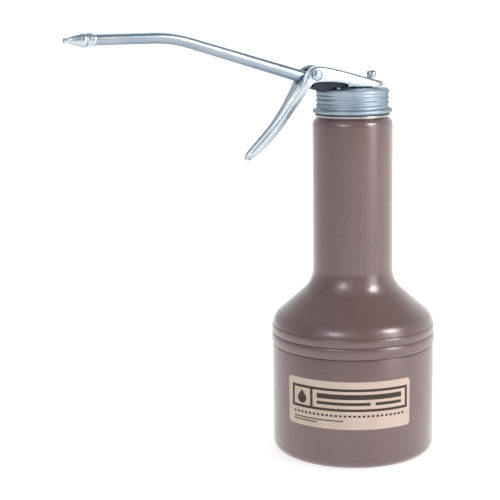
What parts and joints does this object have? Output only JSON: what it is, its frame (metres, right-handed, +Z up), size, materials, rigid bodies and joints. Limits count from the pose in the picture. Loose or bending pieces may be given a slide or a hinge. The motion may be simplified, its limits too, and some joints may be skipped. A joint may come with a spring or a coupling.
{
  "type": "pump oiler can",
  "caption": "Hand oiler can with a long neck, a screw-on plunger pump, a cranked spout and a trigger lever.",
  "frame": {"origin": "centre of the can's flat base, on the can's axis", "axes": "+Z up along the can's axis; the spout points to -X; the pump's plane of symmetry is Y = 0"},
  "size_m": [0.1609, 0.071, 0.1842],
  "materials": {
    "enamel": "semi-gloss baked enamel",
    "tin_plate": "bright tin plate",
    "label_paper": "printed kraft paper",
    "gasket_rubber": "matt nitrile",
    "zinc_plate": "zinc-plated steel",
    "rivet_steel": "nickel-plated steel",
    "die_cast": "as-cast",
    "brass_parts": "turned brass",
    "cup_leather": "oiled leather",
    "spring_steel": "music wire",
    "ball_steel": "polished bearing steel"
  },
  "bodies": {
    "can": {"lower_cup": "enamel", "neck_shell": "enamel", "neck_ferrule": "tin_plate", "label": "label_paper"},
    "lift_seal": {"cap_gasket": "gasket_rubber"},
    "rise_ring": {"slip_washer": "brass_parts"},
    "pump_head": {"screw_cap": "zinc_plate", "pump_block": "die_cast", "gallery_plug": "brass_parts", "outlet_seat": "brass_parts", "fulcrum_bracket": "zinc_plate", "bracket_rivets": "zinc_plate", "pivot_rivets": "rivet_steel", "spout_elbow": "brass_parts", "spout_tube": "zinc_plate", "nozzle_tip": "zinc_plate", "gland_nut": "brass_parts", "gland_packing": "gasket_rubber", "pump_barrel": "brass_parts", "foot_valve_body": "brass_parts", "inlet_cage": "brass_parts", "suction_tube": "brass_parts", "strainer": "brass_parts", "return_spring": "spring_steel", "outlet_spring": "spring_steel"},
    "lever": {"trigger_lever": "zinc_plate"},
    "plunger": {"pump_rod": "rivet_steel", "rod_button": "rivet_steel", "follower_washer": "rivet_steel", "piston_cup": "cup_leather", "backing_plate": "brass_parts", "piston_nut": "brass_parts"},
    "inlet_check": {"inlet_ball": "ball_steel"},
    "outlet_check": {"outlet_ball": "ball_steel"}
  },
  "joints": [
    {"name": "pump_lift", "type": "slide", "parent": "can", "child": "lift_seal", "axis": [0, 0, 1], "range_m": [0, 0.16]},
    {"name": "thread_rise", "type": "slide", "parent": "lift_seal", "child": "rise_ring", "axis": [0, 0, 1], "range_m": [0, 0.006]},
    {"name": "cap_turn", "type": "hinge", "parent": "rise_ring", "child": "pump_head", "pos_m": [0, 0, 0.15], "axis": [0, 0, 1], "range_deg": [0, 1080]},
    {"name": "trigger_turn", "type": "hinge", "parent": "pump_head", "child": "lever", "pos_m": [-0.0194, 0, 0.1644], "axis": [0, -1, 0], "range_deg": [0, 20], "stiffness_Nm_per_rad": 0.25, "springref_deg": -5.73},
    {"name": "plunger_slide", "type": "slide", "parent": "pump_head", "child": "plunger", "axis": [0, 0, 1], "range_m": [0, 0.01], "deforming": ["return_spring"]},
    {"name": "inlet_ball_lift", "type": "slide", "parent": "pump_head", "child": "inlet_check", "axis": [0, 0, 1], "range_m": [0, 0.0008]},
    {"name": "outlet_ball_lift", "type": "slide", "parent": "pump_head", "child": "outlet_check", "axis": [0, 0, 1], "range_m": [0, 0.0008], "stiffness_N_per_m": 20, "springref_m": -0.002, "deforming": ["outlet_spring"]}
  ],
  "couplings": [
    {"joint": "thread_rise", "follows": "cap_turn", "m_per_rad": 0.00031035},
    {"joint": "plunger_slide", "follows": "trigger_turn", "m_per_rad": 0.028}
  ]
}
